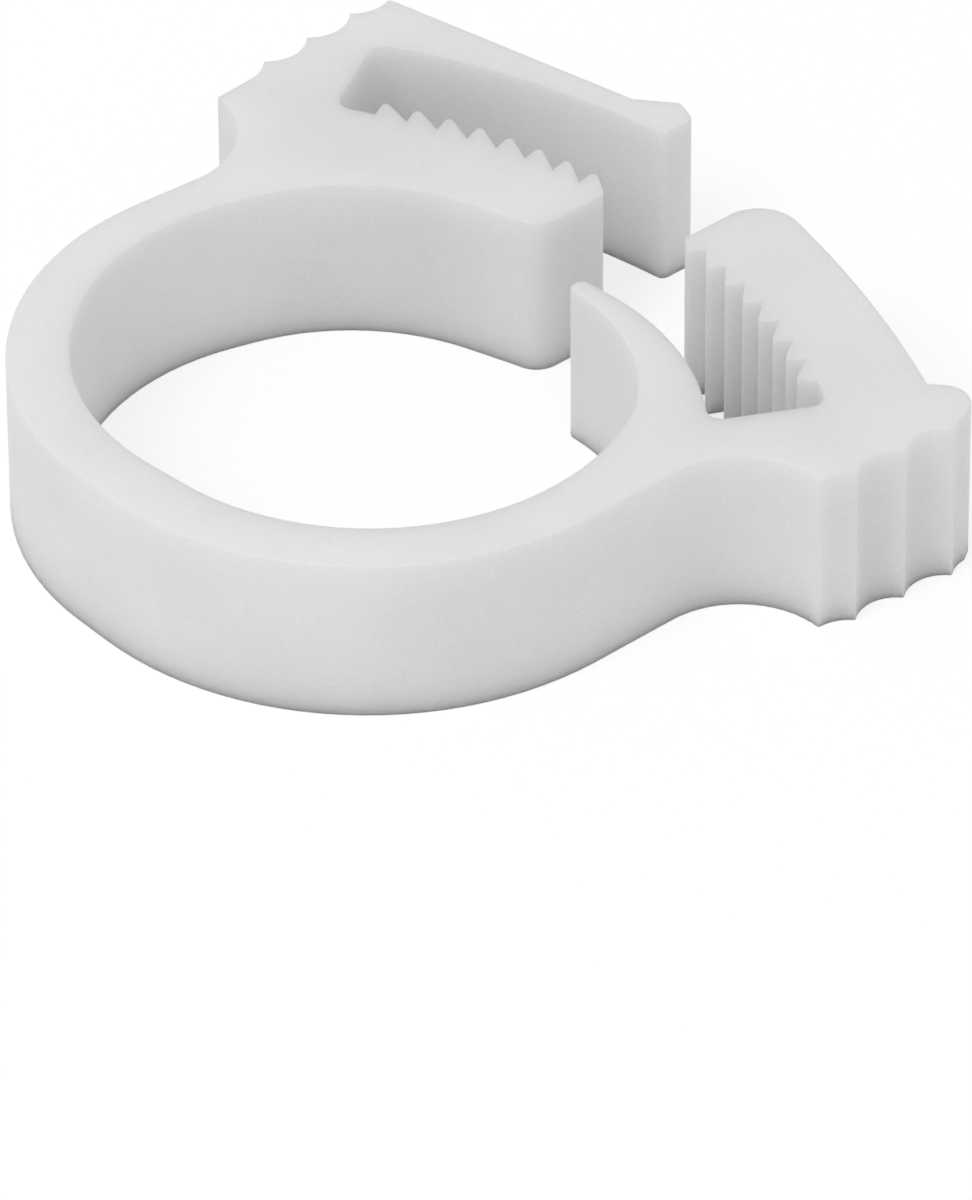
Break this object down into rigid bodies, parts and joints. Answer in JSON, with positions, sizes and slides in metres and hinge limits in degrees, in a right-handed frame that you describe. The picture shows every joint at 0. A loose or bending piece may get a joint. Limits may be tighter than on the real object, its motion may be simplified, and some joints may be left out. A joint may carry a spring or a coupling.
{
  "type": "hose clip",
  "caption": "One-piece moulded plastic hose clip in its open state: a springy round band whose ribbed jaws carry interlocking toothed arms that ratchet shut.",
  "frame": {"origin": "on the axis of the round hose seat, at the underside of the clip", "axes": "+Z along the axis of the hose seat, +X towards the open mouth, +Y towards the hooked jaw"},
  "size_m": [0.0255, 0.0276, 0.0056],
  "materials": {
    "natural_nylon": "as moulded, soft satin"
  },
  "bodies": {
    "root": {"hose_clip": "natural_nylon"}
  },
  "joints": []
}
